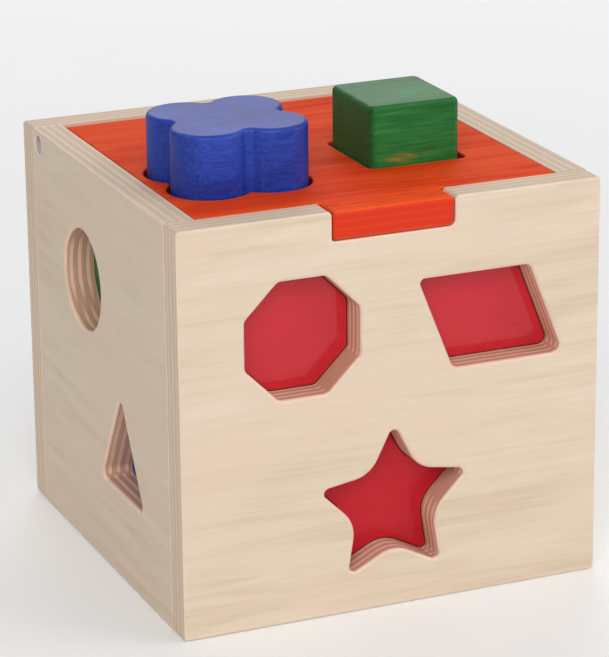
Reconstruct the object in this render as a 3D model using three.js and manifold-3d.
// Wooden shape sorter: an open-topped plywood box with shaped holes in its four
// walls, a stained lid that pivots on two pins at the back and rests by its front
// tab in a notch of the front wall, and twelve solid wooden blocks, one for each
// hole. Two blocks stand in the lid. The other ten reach inwards from the walls,
// each with its outer face a little way into its own hole.
//
// Millimetres, +Z up. The origin is at the centre of the box's footprint, on the
// surface it stands on. +X is to the right, +Y runs from the front wall to the back.
import * as THREE from 'three';
import { mergeVertices } from 'three/addons/utils/BufferGeometryUtils.js';
import Module from 'manifold-3d';

const wasm = await Module();
wasm.setup();

// ---------------------------------------------------------------- dimensions
const WIDTH = 140;             // outside, left to right
const DEPTH = 140;             // outside, front to back
const HEIGHT = 130;            // outside, foot to the top edge of the walls
const WALL_T = 10;             // plywood of the walls
const JOINT_GAP = 0.3;         // side wall's end to the front or back wall
const INNER_X = WIDTH / 2 - WALL_T;    // inner faces of the side walls
const INNER_Y = DEPTH / 2 - WALL_T;    // inner faces of the front and back walls
const OVERCUT = 1;             // how far cutting tools run past a surface

const LID_T = 9;               // plywood of the lid
const LID_GAP = 0.4;           // lid edge to the side and front walls
const LID_HALF_X = INNER_X - LID_GAP;
const LID_FRONT_Y = -(INNER_Y - LID_GAP);
const LID_CORNER_R = 1;        // its two front corners

const TAB_W = 39.9;            // lid tab, width
const TAB_X = 0.2;             // and its middle
const TAB_GAP = 0.35;          // tab to notch, each side and below
const TAB_R = 2;               // lower right corner of tab and notch
const TAB_R_LEFT = 1;          // and the sharper lower left one
const TAB_ROUNDING_STOP = 0.01;  // tab rounding ends this far before the lid's front edge
const NOTCH_RIM_R = 0.8;       // upper corners of the notch

const HINGE_Y = INNER_Y - 5;   // hinge axis, a little in front of the back wall
const HINGE_BELOW = LID_T / 2;   // and halfway down the lid
const PIN_R = 1.25;
const PIN_POINT = 1.2;         // length of the tapered tip
const PIN_HEAD_R = 2.6;
const PIN_HEAD_T = 1;
const PIN_HEAD_BEVEL = { along: 0.3, inward: 0.5 };
const PIN_INTO_LID = 12;
const PIN_CLEAR = 0.3;
const PIN_TIP_GAP = 0.5;       // tip to the bottom of its hole

const BASE_T = 5.6;            // bottom panel, in a groove round the inside
const BASE_UP = 4.2;           // its underside above the foot
const GROOVE_DEEP = 3;
const GROOVE_CLEAR = 0.3;

const DOWEL_R = 3;             // hidden corner dowels
const DOWEL_CHAMFER = 0.8;
const DOWEL_CLEAR = 0.25;
const DOWEL_END_GAP = 0.3;     // each end short of the nominal depth
const DOWEL_IN_FACE = 6;       // depth in the front or back wall
const DOWEL_IN_END = 18;       // depth in the end of a side wall
const DOWEL_LEVELS = { lower: 32, upper: 100 };

const BLOCK_L = 28;            // length of the blocks in the walls
const BLOCK_SUNK = 9.6;        // their outer faces, below the wall's outer face
const BLOCK_CLEAR = 0.4;       // block to hole, each side
const BLOCK_CHAMFER = 1;       // chamfer at both ends, along the block
const BLOCK_CHAMFER_IN = 0.8 * BLOCK_CHAMFER;    // and inwards from its sides
const LID_BLOCK_L = 30;        // length of the two blocks in the lid
const LID_BLOCK_UP = 19.5;     // how far they stand above the lid

// The lid's blocks and their holes: x, y of the middle, from the box's centre.
const FLOWER = {
  x: -33.8, y: -20.6,
  block: { lobeOffset: 10.1, lobeR: 11.8, hollowR: 2.6 },
  hole: { lobeOffset: 10.1, lobeR: 12.9, hollowR: 2 },
};
const CUBOID = {
  block: { x: 25.2, y: -15.5, width: 30.4, depth: 32.4 },
  hole: { x: 26.1, y: -14.5, width: 33.2, depth: 35.2 },
};
const CUBOID_EDGE_R = 2.6;

// ------------------------------------------------------------- outline tools
const point = (x, y) => new THREE.Vector2(x, y);
const polar = (radius, angle) => point(radius * Math.cos(angle), radius * Math.sin(angle));
const shift = (outline, x, y) => outline.map((p) => point(p.x + x, p.y + y));

// A polygon with each corner rounded in the given number of steps. radii is one
// number or a list with one for each corner; 0 leaves a corner sharp.
function filletPolygon(corners, radii, steps) {
  const count = corners.length;
  return corners.flatMap((corner, i) => {
    const radius = Array.isArray(radii) ? radii[i] : radii;
    if (radius === 0) return [corner.clone()];
    const toPrevious = corners[(i + count - 1) % count].clone().sub(corner).normalize();
    const toNext = corners[(i + 1) % count].clone().sub(corner).normalize();
    const halfAngle = Math.acos(toPrevious.dot(toNext)) / 2;
    const tangent = radius / Math.tan(halfAngle);
    const bisector = toPrevious.clone().add(toNext).normalize();
    const centre = corner.clone().add(bisector.multiplyScalar(radius / Math.sin(halfAngle)));
    const start = corner.clone().add(toPrevious.multiplyScalar(tangent)).sub(centre);
    const end = corner.clone().add(toNext.multiplyScalar(tangent)).sub(centre);
    const turn = Math.atan2(start.x * end.y - start.y * end.x, start.dot(end));
    const from = Math.atan2(start.y, start.x);
    return Array.from({ length: steps + 1 }, (_, j) =>
      polar(radius, from + (turn * j) / steps).add(centre));
  });
}

// Moves a closed counter-clockwise outline inwards.
function insetOutline(outline, distance) {
  const count = outline.length;
  const outwardNormal = (from, to) => {
    const edge = to.clone().sub(from).normalize();
    return point(edge.y, -edge.x);
  };
  return outline.map((p, i) => {
    const before = outwardNormal(outline[(i + count - 1) % count], p);
    const after = outwardNormal(p, outline[(i + 1) % count]);
    const mitre = before.clone().add(after).normalize();
    return p.clone().add(mitre.multiplyScalar(-distance / mitre.dot(before)));
  });
}

// ------------------------------------------------------------ hole outlines
const regularPolygon = (sides, reach, firstAngle) =>
  Array.from({ length: sides }, (_, i) => polar(reach, firstAngle + (i * 2 * Math.PI) / sides));

// Octagon with level flats.
function octagon({ side, cornerR }) {
  const reach = side / (2 * Math.sin(Math.PI / 8));
  return filletPolygon(regularPolygon(8, reach, Math.PI / 8), cornerR, 2);
}

// Triangle and hexagon point upwards; reach is from the middle to a sharp corner.
const triangle = ({ reach, cornerR }) =>
  filletPolygon(regularPolygon(3, reach, Math.PI / 2), cornerR, 3);
const hexagon = ({ reach, cornerR }) =>
  filletPolygon(regularPolygon(6, reach, Math.PI / 2), cornerR, 2);

const oval = ({ radiusX, radiusY }) =>
  regularPolygon(40, 1, 0).map((p) => point(p.x * radiusX, p.y * radiusY));
const circle = (radius) => oval({ radiusX: radius, radiusY: radius });

// Parallelogram whose lower side lies to the right of its upper side. cornerRadii
// run upper left, lower left, lower right, upper right.
function parallelogram({ base, height, lean, cornerRadii }) {
  const corners = [
    point((-base - lean) / 2, height / 2),
    point((-base + lean) / 2, -height / 2),
    point((base + lean) / 2, -height / 2),
    point((base - lean) / 2, height / 2),
  ];
  return filletPolygon(corners, cornerRadii, 3);
}

function trapezium({ low, high, height, cornerR }) {
  const corners = [
    point(-low / 2, -height / 2),
    point(low / 2, -height / 2),
    point(high / 2, height / 2),
    point(-high / 2, height / 2),
  ];
  return filletPolygon(corners, cornerR, 3);
}

const rectangle = ({ width, depth }) =>
  trapezium({ low: width, high: width, height: depth, cornerR: CUBOID_EDGE_R });

// Five-pointed star with rounded tips and softly hollowed sides. tipReach and
// hollowReach are the distances from the middle before the rounding.
function star({ tipReach, hollowReach, tipR, hollowR }) {
  const corners = [];
  const radii = [];
  for (let i = 0; i < 10; i++) {
    const isHollow = i % 2 === 1;
    corners.push(polar(isHollow ? hollowReach : tipReach, Math.PI / 2 + (i * Math.PI) / 5));
    radii.push(isHollow ? hollowR : tipR);
  }
  return filletPolygon(corners, radii, 4);
}

function cross({ span, arm, outerR, innerR }) {
  const s = span / 2;
  const a = arm / 2;
  const corners = [
    [a, -s], [a, -a], [s, -a], [s, a], [a, a], [a, s],
    [-a, s], [-a, a], [-s, a], [-s, -a], [-a, -a], [-a, -s],
  ];
  const radii = corners.map(([x, y]) => (Math.abs(x) === Math.abs(y) ? innerR : outerR));
  return filletPolygon(corners.map(([x, y]) => point(x, y)), radii, 2);
}

// Half disc, flat side down. Short chamfers blunt its two corners: from `along`
// in from the corner on the flat side to `inset` in at the height `up`.
function halfRound({ radius, chamfer, drop }) {
  const arcSteps = 26;
  const outline = [
    point(-radius + chamfer.along, 0),
    point(radius - chamfer.along, 0),
    point(radius - chamfer.inset, chamfer.up),
  ];
  for (let j = 1; j < arcSteps; j++) outline.push(polar(radius, (Math.PI * j) / arcSteps));
  outline.push(point(-radius + chamfer.inset, chamfer.up));
  return shift(outline, 0, -drop);
}

// Flower of four round lobes centred at (+-lobeOffset, +-lobeOffset), with a
// fillet of hollowR in each of the four hollows between them.
function flower({ lobeOffset, lobeR, hollowR }) {
  const lobeSteps = 12;
  const hollowSteps = 4;
  const lobeCentre = point(lobeOffset, lobeOffset);
  const hollowY = lobeOffset + Math.sqrt((lobeR + hollowR) ** 2 - lobeOffset ** 2);
  const hollowCentre = point(0, hollowY);
  const lobeFrom = Math.atan2(-lobeOffset, hollowY - lobeOffset);
  const lobeTo = Math.PI / 2 - lobeFrom;
  const hollowFrom = Math.atan2(lobeOffset - hollowY, lobeOffset);
  const hollowTo = -Math.PI - hollowFrom;

  const quarter = [];
  for (let j = 0; j <= lobeSteps; j++) {
    const angle = lobeFrom + ((lobeTo - lobeFrom) * j) / lobeSteps;
    quarter.push(polar(lobeR, angle).add(lobeCentre));
  }
  for (let j = 1; j < hollowSteps; j++) {
    const angle = hollowFrom + ((hollowTo - hollowFrom) * j) / hollowSteps;
    quarter.push(polar(hollowR, angle).add(hollowCentre));
  }
  const middle = point(0, 0);
  return [0, 1, 2, 3].flatMap((turns) =>
    quarter.map((p) => p.clone().rotateAround(middle, (turns * Math.PI) / 2)));
}

// ---------------------------------------------------------- holes and blocks
// u runs to the right as the wall is seen from outside, v up from the foot.
const HOLES = {
  front: [
    { name: 'octagon_block', colour: 'red', u: -29.9, v: 91.6,
      outline: octagon({ side: 15.5, cornerR: 2.6 }) },
    { name: 'parallelogram_block', colour: 'red', u: 33, v: 90,
      outline: parallelogram({
        base: 37.35, height: 29.85, lean: 11.75, cornerRadii: [1.5, 2.6, 2.6, 1.8],
      }) },
    { name: 'star_block', colour: 'red', u: 0.15, v: 33.25,
      outline: star({ tipReach: 26.4, hollowReach: 13.4, tipR: 1.65, hollowR: 10.5 }) },
  ],
  right: [
    { name: 'hexagon_block', colour: 'blue', u: 17, v: 91,
      outline: hexagon({ reach: 18, cornerR: 1.6 }) },
    { name: 'cross_block', colour: 'green', u: -17, v: 42,
      outline: cross({ span: 36, arm: 13, outerR: 2, innerR: 1.2 }) },
  ],
  back: [
    { name: 'oval_block', colour: 'red', u: 0, v: 36,
      outline: oval({ radiusX: 20, radiusY: 13.5 }) },
    { name: 'half_round_block', colour: 'green', u: -30, v: 90,
      outline: halfRound({
        radius: 19, chamfer: { along: 1.2, inset: 0.05, up: 1 }, drop: 8.55,
      }) },
    { name: 'trapezium_block', colour: 'blue', u: 31, v: 90,
      outline: trapezium({ low: 38, high: 22, height: 28, cornerR: 2.2 }) },
  ],
  left: [
    { name: 'circle_block', colour: 'green', u: -15, v: 91, outline: circle(16.5) },
    { name: 'triangle_block', colour: 'blue', u: 17, v: 40,
      outline: triangle({ reach: 22, cornerR: 2.4 }) },
  ],
};

// ---------------------------------------------------------------- materials
const wood = (red, green, blue, roughness) =>
  ({ color: new THREE.Color(red, green, blue), roughness, metalness: 0 });

// Woods: red, green and blue parts of the linear colour, then roughness.
const MATERIALS = {
  ply: wood(0.88, 0.79, 0.68, 0.62),
  stain: wood(0.80, 0.16, 0.07, 0.5),
  red: wood(0.72, 0.10, 0.12, 0.4),
  green: wood(0.10, 0.38, 0.14, 0.45),
  blue: wood(0.10, 0.17, 0.50, 0.45),
  dowel: wood(0.80, 0.66, 0.47, 0.7),
  steel: { color: 0x9a9a98, roughness: 0.35, metalness: 1 },
};

// ------------------------------------------------------------------- solids
function toManifold(geometry) {
  const bare = geometry.index ? geometry.toNonIndexed() : geometry.clone();
  bare.deleteAttribute('normal');
  bare.deleteAttribute('uv');
  const merged = mergeVertices(bare, 1e-4);
  return new wasm.Manifold(new wasm.Mesh({
    numProp: 3,
    vertProperties: new Float32Array(merged.attributes.position.array),
    triVerts: new Uint32Array(merged.index.array),
  }));
}

function toGeometry(manifold) {
  const mesh = manifold.getMesh();
  const geometry = new THREE.BufferGeometry();
  const positions = new Float32Array(mesh.vertProperties);
  geometry.setAttribute('position', new THREE.BufferAttribute(positions, 3));
  geometry.setIndex(new THREE.BufferAttribute(new Uint32Array(mesh.triVerts), 1));
  geometry.computeVertexNormals();
  return geometry;
}

const cut = (solid, tools) =>
  tools.reduce((remaining, tool) => remaining.subtract(toManifold(tool)), solid);

// A board with holes, its outer or upper face at z = 0.
function board(outline, holes, thickness) {
  const shape = new THREE.Shape(outline);
  shape.holes = holes.map((hole) => new THREE.Path(hole));
  const geometry = new THREE.ExtrudeGeometry(shape, { depth: thickness, bevelEnabled: false });
  return toManifold(geometry.translate(0, 0, -thickness));
}

// A block chamfered at both ends, its outer end at z = 0.
function blockGeometry(outline, length) {
  const geometry = new THREE.ExtrudeGeometry(new THREE.Shape(outline), {
    depth: length - 2 * BLOCK_CHAMFER,
    bevelEnabled: true,
    bevelThickness: BLOCK_CHAMFER,
    bevelSize: BLOCK_CHAMFER_IN,
    bevelOffset: -BLOCK_CHAMFER_IN,
    bevelSegments: 1,
  });
  geometry.translate(0, 0, BLOCK_CHAMFER - length);
  return toGeometry(toManifold(geometry));
}

// x0 and x1 may come in either order.
const box = (x0, x1, y0, y1, z0, z1) =>
  new THREE.BoxGeometry(Math.abs(x1 - x0), y1 - y0, z1 - z0)
    .translate((x0 + x1) / 2, (y0 + y1) / 2, (z0 + z1) / 2);

const cylinderZ = (radius, x, y, z0, z1, segments) =>
  new THREE.CylinderGeometry(radius, radius, z1 - z0, segments)
    .rotateX(Math.PI / 2)
    .translate(x, y, (z0 + z1) / 2);

// A solid of revolution about X, from profile points [x, radius].
const turnedX = (profile, segments) =>
  new THREE.LatheGeometry(profile.map(([x, radius]) => point(radius, x)), segments)
    .rotateZ(-Math.PI / 2);

// A plain rod along X; its ends may come in either order.
function rodX(end0, end1, y, z, radius, segments) {
  const x0 = Math.min(end0, end1);
  const x1 = Math.max(end0, end1);
  const profile = [[x0, 0], [x0, radius], [x1, radius], [x1, 0]];
  return turnedX(profile, segments).translate(0, y, z);
}

function addMesh(parent, name, geometry, kind) {
  const mesh = new THREE.Mesh(geometry, new THREE.MeshStandardMaterial(MATERIALS[kind]));
  mesh.name = name;
  parent.add(mesh);
  return mesh;
}

const sorter = new THREE.Group();

// -------------------------------------------------------------------- walls
// A wall's frame: its outer face is the local XY plane, u along X, v along Y,
// the outside along +Z, with the origin at the middle of the wall's foot.
function addWallFrame(quarterTurns, distance) {
  const turned = new THREE.Group();
  turned.rotation.z = (quarterTurns * Math.PI) / 2;
  const face = new THREE.Group();
  face.rotation.x = Math.PI / 2;
  face.position.set(0, -distance, 0);
  turned.add(face);
  sorter.add(turned);
  return face;
}

const plainWallOutline = (half) =>
  [point(-half, 0), point(half, 0), point(half, HEIGHT), point(-half, HEIGHT)];

// The front wall has the notch for the lid's tab in its top edge.
function notchedWallOutline(half) {
  const notchLeft = TAB_X - TAB_W / 2 - TAB_GAP;
  const notchRight = TAB_X + TAB_W / 2 + TAB_GAP;
  const notchFloor = HEIGHT - LID_T - TAB_GAP;
  const corners = [
    point(-half, 0), point(half, 0), point(half, HEIGHT),
    point(notchRight, HEIGHT), point(notchRight, notchFloor),
    point(notchLeft, notchFloor), point(notchLeft, HEIGHT),
    point(-half, HEIGHT),
  ];
  return filletPolygon(corners, [0, 0, 0, NOTCH_RIM_R, TAB_R, TAB_R_LEFT, NOTCH_RIM_R, 0], 3);
}

// Groove for the bottom panel, stopped at the corners of the front and back walls.
function grooveTool(across, half) {
  const reach = across ? INNER_X + GROOVE_DEEP : half + OVERCUT;
  return box(-reach, reach, BASE_UP - GROOVE_CLEAR, BASE_UP + BASE_T + GROOVE_CLEAR,
    -WALL_T - OVERCUT, -WALL_T + GROOVE_DEEP);
}

// Blind holes for the corner dowels: in the inner faces of the front and back
// walls, and in the ends of the side walls.
function dowelTools(across, half) {
  const radius = DOWEL_R + DOWEL_CLEAR;
  const endLength = DOWEL_IN_END + DOWEL_CLEAR + OVERCUT;
  const endMiddle = half + OVERCUT - endLength / 2;
  const faceBottom = -WALL_T + DOWEL_IN_FACE + DOWEL_CLEAR;
  return Object.values(DOWEL_LEVELS).flatMap((v) => [-1, 1].map((sign) => {
    if (across) {
      const u = sign * (WIDTH / 2 - WALL_T / 2);
      return cylinderZ(radius, u, v, -WALL_T - OVERCUT, faceBottom, 20);
    }
    return new THREE.CylinderGeometry(radius, radius, endLength, 20)
      .rotateZ(Math.PI / 2)
      .translate(sign * endMiddle, v, -WALL_T / 2);
  }));
}

// The hinge pin's hole through a side wall, with a seat for its head.
function hingeTools(side) {
  const u = (side === 'right' ? 1 : -1) * HINGE_Y;
  const v = HEIGHT - HINGE_BELOW;
  const seatFloor = -(PIN_HEAD_T + PIN_CLEAR);
  return [
    cylinderZ(PIN_R + PIN_CLEAR, u, v, -WALL_T - OVERCUT, OVERCUT, 20),
    cylinderZ(PIN_HEAD_R + PIN_CLEAR, u, v, seatFloor, OVERCUT, 24),
  ];
}

// One wall and the blocks in its holes.
function addWall(side, quarterTurns) {
  const across = side === 'front' || side === 'back';
  const face = addWallFrame(quarterTurns, (across ? DEPTH : WIDTH) / 2);
  const half = across ? WIDTH / 2 : INNER_Y - JOINT_GAP;
  const outline = side === 'front' ? notchedWallOutline(half) : plainWallOutline(half);
  const holes = HOLES[side].map((hole) => shift(hole.outline, hole.u, hole.v));
  const solid = cut(board(outline, holes, WALL_T), [
    grooveTool(across, half),
    ...dowelTools(across, half),
    ...(across ? [] : hingeTools(side)),
  ]);
  addMesh(face, `${side}_wall`, toGeometry(solid), 'ply');

  for (const hole of HOLES[side]) {
    const geometry = blockGeometry(insetOutline(hole.outline, BLOCK_CLEAR), BLOCK_L);
    addMesh(face, hole.name, geometry, hole.colour).position.set(hole.u, hole.v, -BLOCK_SUNK);
  }
}

// --------------------------------------------------- bottom panel and dowels
function addBottomPanel() {
  const halfX = INNER_X + GROOVE_DEEP - GROOVE_CLEAR;
  const halfY = INNER_Y + GROOVE_DEEP - GROOVE_CLEAR;
  const geometry = box(-halfX, halfX, -halfY, halfY, BASE_UP, BASE_UP + BASE_T);
  addMesh(sorter, 'bottom_panel', geometry, 'ply');
}

function addCornerDowels() {
  const half = (DOWEL_IN_FACE + DOWEL_IN_END) / 2 - DOWEL_END_GAP;
  const profile = [
    [-half, 0], [-half, DOWEL_R - DOWEL_CHAMFER], [-half + DOWEL_CHAMFER, DOWEL_R],
    [half - DOWEL_CHAMFER, DOWEL_R], [half, DOWEL_R - DOWEL_CHAMFER], [half, 0],
  ];
  const x = WIDTH / 2 - WALL_T / 2;
  const y = INNER_Y + DOWEL_IN_FACE - DOWEL_END_GAP - half;
  for (const [end, signY] of [['front', -1], ['back', 1]]) {
    for (const [side, signX] of [['left', -1], ['right', 1]]) {
      for (const [level, z] of Object.entries(DOWEL_LEVELS)) {
        const name = `corner_dowel_${end}_${side}_${level}`;
        const dowel = addMesh(sorter, name, turnedX(profile, 20), 'dowel');
        dowel.rotation.z = Math.PI / 2;
        dowel.position.set(signX * x, signY * y, z);
      }
    }
  }
}

// ---------------------------------------------------------------------- lid
// The lid's frame has its top surface at z = 0.
function lidOutline() {
  const tabLeft = TAB_X - TAB_W / 2;
  const tabRight = TAB_X + TAB_W / 2;
  const backY = HINGE_Y + LID_T / 2;
  const corners = [
    point(tabLeft, -DEPTH / 2), point(tabRight, -DEPTH / 2),
    point(tabRight, LID_FRONT_Y), point(LID_HALF_X, LID_FRONT_Y),
    point(LID_HALF_X, backY), point(-LID_HALF_X, backY),
    point(-LID_HALF_X, LID_FRONT_Y), point(tabLeft, LID_FRONT_Y),
  ];
  return filletPolygon(corners, [0, 0, 0, LID_CORNER_R, 0, 0, LID_CORNER_R, 0], 2);
}

// Rounds the lid's back edge about the hinge axis.
function backEdgeTool() {
  const boxHalf = LID_HALF_X + OVERCUT;
  const rodHalf = boxHalf + OVERCUT;
  const boxDepth = 10;
  const block = box(-boxHalf, boxHalf, HINGE_Y, HINGE_Y + boxDepth, -LID_T - OVERCUT, OVERCUT);
  const rod = rodX(-rodHalf, rodHalf, HINGE_Y, -HINGE_BELOW, LID_T / 2, 40);
  return toManifold(block).subtract(toManifold(rod));
}

// Blind hole for a hinge pin, in the lid's left (-1) or right (1) edge.
function lidPinTool(sign) {
  const bottom = sign * (LID_HALF_X - PIN_INTO_LID - PIN_TIP_GAP);
  const mouth = sign * (LID_HALF_X + OVERCUT);
  return rodX(bottom, mouth, HINGE_Y, -HINGE_BELOW, PIN_R + PIN_CLEAR, 20);
}

// Rounds the tab's lower left (-1) or lower right (1) corner to match its notch.
function tabCornerTool(sign, radius) {
  const centreX = TAB_X + sign * (TAB_W / 2 - radius);
  const centreZ = -LID_T + radius;
  const corner = box(centreX, centreX + sign * (radius + OVERCUT),
    -DEPTH / 2 - OVERCUT, LID_FRONT_Y - TAB_ROUNDING_STOP, -LID_T - OVERCUT, centreZ);
  const rod = new THREE.CylinderGeometry(radius, radius, WALL_T + 4 * OVERCUT, 24)
    .translate(centreX, -DEPTH / 2 + WALL_T / 2, centreZ);
  return toManifold(corner).subtract(toManifold(rod));
}

function lidGeometry() {
  const holes = [
    shift(flower(FLOWER.hole), FLOWER.x, FLOWER.y),
    shift(rectangle(CUBOID.hole), CUBOID.hole.x, CUBOID.hole.y),
  ];
  const rounded = board(lidOutline(), holes, LID_T).subtract(backEdgeTool());
  const bored = cut(rounded, [lidPinTool(-1), lidPinTool(1)]);
  return toGeometry(bored
    .subtract(tabCornerTool(-1, TAB_R_LEFT))
    .subtract(tabCornerTool(1, TAB_R)));
}

function addLidBlock(frame, name, outline, { x, y }, colour) {
  const block = addMesh(frame, name, blockGeometry(outline, LID_BLOCK_L), colour);
  block.position.set(x, y, LID_BLOCK_UP);
}

function addLid() {
  const frame = new THREE.Group();
  frame.position.set(0, 0, HEIGHT);
  sorter.add(frame);
  addMesh(frame, 'lid', lidGeometry(), 'stain');
  addLidBlock(frame, 'flower_block', flower(FLOWER.block), FLOWER, 'blue');
  addLidBlock(frame, 'cuboid_block', rectangle(CUBOID.block), CUBOID.block, 'green');
}

// --------------------------------------------------------------- hinge pins
// Headed pins through the side walls into the lid's edges.
function addHingePins() {
  const tip = LID_HALF_X - PIN_INTO_LID;
  const headTop = WIDTH / 2;
  const profile = [
    [tip, 0],
    [tip + PIN_POINT, PIN_R],
    [headTop - PIN_HEAD_T, PIN_R],
    [headTop - PIN_HEAD_T, PIN_HEAD_R],
    [headTop - PIN_HEAD_BEVEL.along, PIN_HEAD_R],
    [headTop, PIN_HEAD_R - PIN_HEAD_BEVEL.inward],
    [headTop, 0],
  ];
  for (const [side, turn] of [['left', Math.PI], ['right', 0]]) {
    const pin = addMesh(sorter, `hinge_pin_${side}`, turnedX(profile, 20), 'steel');
    pin.position.set(0, HINGE_Y, HEIGHT - HINGE_BELOW);
    pin.rotation.z = turn;
  }
}

// ----------------------------------------------------------------- assembly
['front', 'right', 'back', 'left'].forEach(addWall);
addBottomPanel();
addCornerDowels();
addLid();
addHingePins();

export default sorter;
